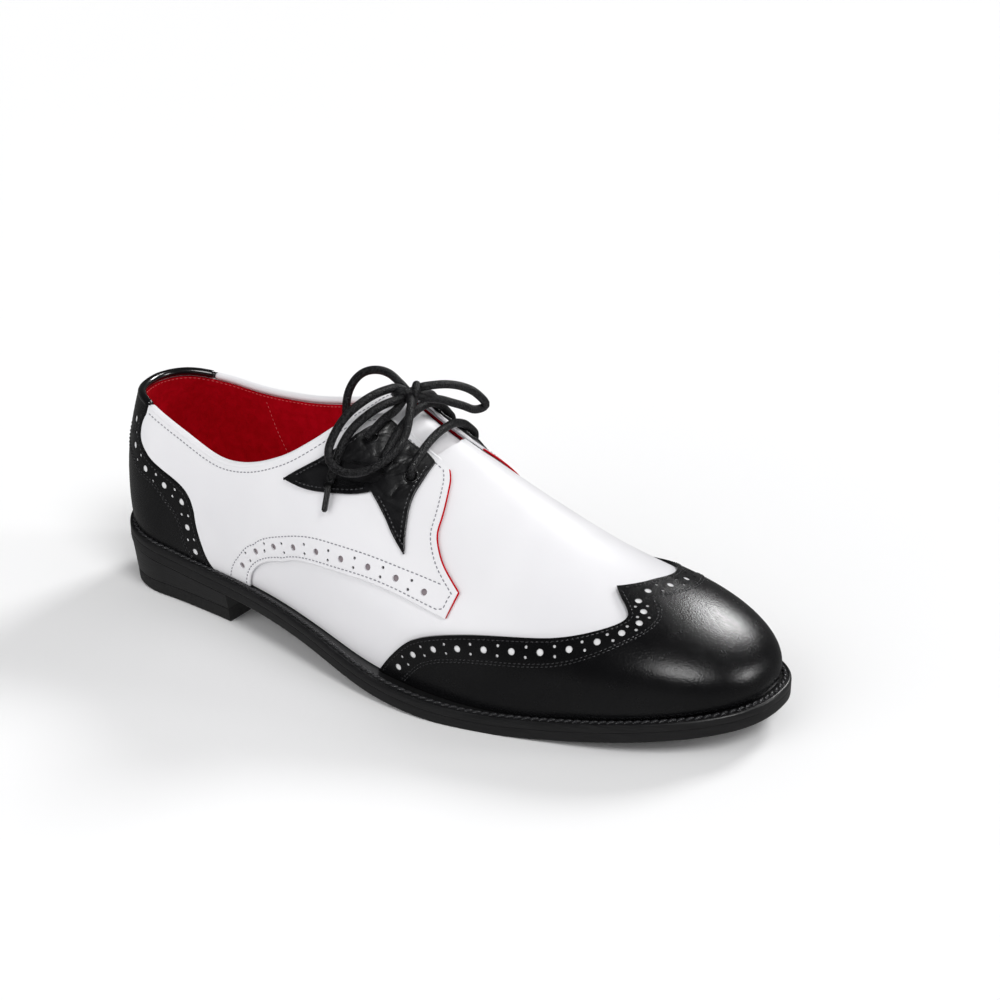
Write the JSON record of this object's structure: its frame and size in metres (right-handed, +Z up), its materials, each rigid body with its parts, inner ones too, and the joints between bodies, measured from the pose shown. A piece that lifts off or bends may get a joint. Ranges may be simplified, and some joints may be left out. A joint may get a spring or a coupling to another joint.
{
  "type": "shoe",
  "caption": "Right wing-tip lace-up shoe in white and black leather, with a hollow upper, star overlays at the eyelets, a tied bow and a low stacked heel.",
  "frame": {"origin": "on the floor under the centre of the heel", "axes": "+X from the heel to the toe along the shoe, +Y towards the inner side of the foot, +Z up"},
  "size_m": [0.305, 0.1082, 0.1151],
  "materials": {
    "sole": "satin black edge, brushed",
    "rubber": "matt",
    "sock": "suede",
    "vamp": "smooth, low gloss",
    "tongue": "smooth, low gloss",
    "quarter": "smooth, low gloss",
    "roll": "smooth, rolled edge",
    "black_leather": "polished, fine grain",
    "star": "crinkled, satin",
    "lace": "waxed round cord",
    "aglet": "glossy black tip"
  },
  "bodies": {
    "root": {"outsole": "sole", "welt": "sole", "heel_stack": "sole", "heel_top_piece": "rubber", "insole": "sock", "upper": "vamp", "tongue": "tongue", "quarter_lateral": "quarter", "quarter_medial": "quarter", "heel_counter": "black_leather", "toe_cap": "black_leather", "star_lateral": "star", "star_medial": "star", "collar_roll_back": "black_leather", "collar_roll_lateral": "roll", "collar_roll_medial": "roll", "lace_bar_front": "lace", "lace_bar_middle": "lace", "lace_knot": "lace", "lace_loop_outer": "lace", "lace_loop_inner": "lace", "lace_end_outer": "lace", "lace_end_inner": "lace", "lace_strand_outer": "lace", "lace_strand_inner": "lace", "lace_aglet_outer": "aglet", "lace_aglet_inner": "aglet"}
  },
  "joints": []
}
